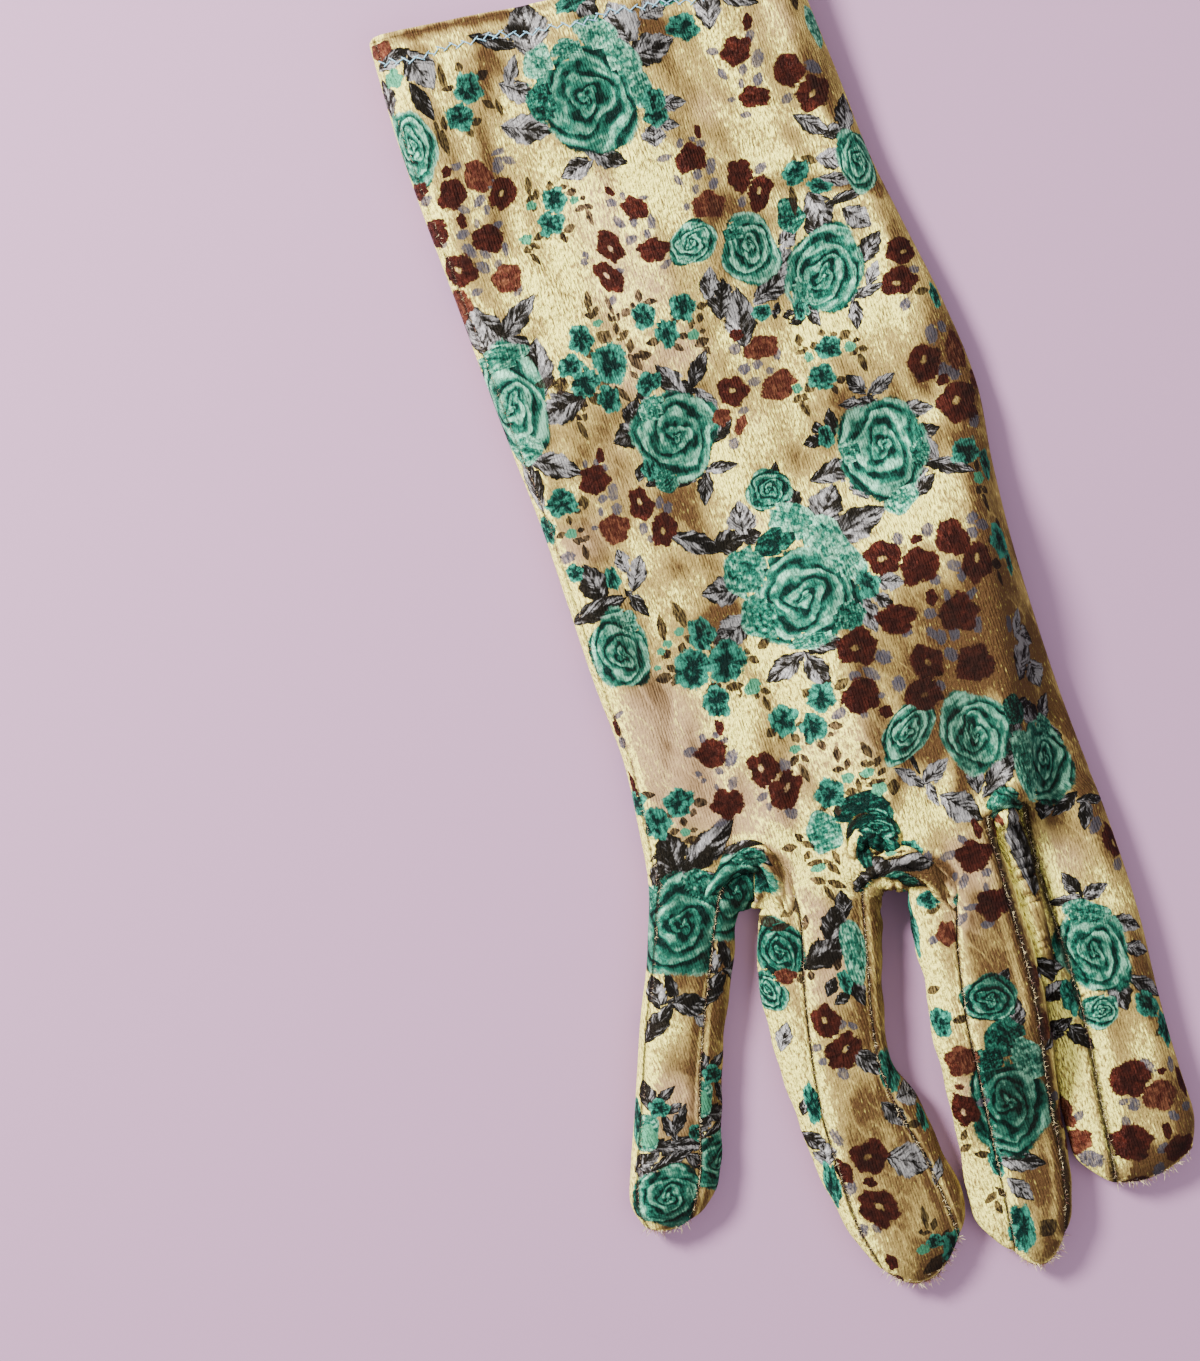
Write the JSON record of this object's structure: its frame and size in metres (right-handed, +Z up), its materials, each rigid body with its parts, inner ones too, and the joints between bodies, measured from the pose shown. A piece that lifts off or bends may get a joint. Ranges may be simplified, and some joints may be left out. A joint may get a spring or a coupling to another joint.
{
  "type": "short dress glove",
  "caption": "Short right-hand dress glove of printed stretch velvet, lying flat with the back up, fingers a little spread, thumb tucked under the palm, and an open hemmed cuff.",
  "frame": {"origin": "centre of the bounding box in X and Y, on the surface that the glove lies on", "axes": "+Y runs from the fingertips to the cuff and is the longest side, +X points to the index finger's side, +Z is up, out of the back of the hand"},
  "size_m": [0.1176, 0.2734, 0.0176],
  "materials": {
    "back": "gold velvet with a brown and teal floral print",
    "palm": "gold velvet with a brown and teal floral print",
    "thumb": "gold velvet with a brown and teal floral print",
    "fourchette_pinky_ring": "gold velvet",
    "fourchette_ring_middle": "gold velvet",
    "fourchette_middle_index": "gold velvet",
    "cuff_hem": "velvet, turned in"
  },
  "bodies": {
    "root": {"back": "back", "palm": "palm", "thumb": "thumb", "fourchette_pinky_ring": "fourchette_pinky_ring", "fourchette_ring_middle": "fourchette_ring_middle", "fourchette_middle_index": "fourchette_middle_index", "cuff_hem": "cuff_hem"}
  },
  "joints": []
}
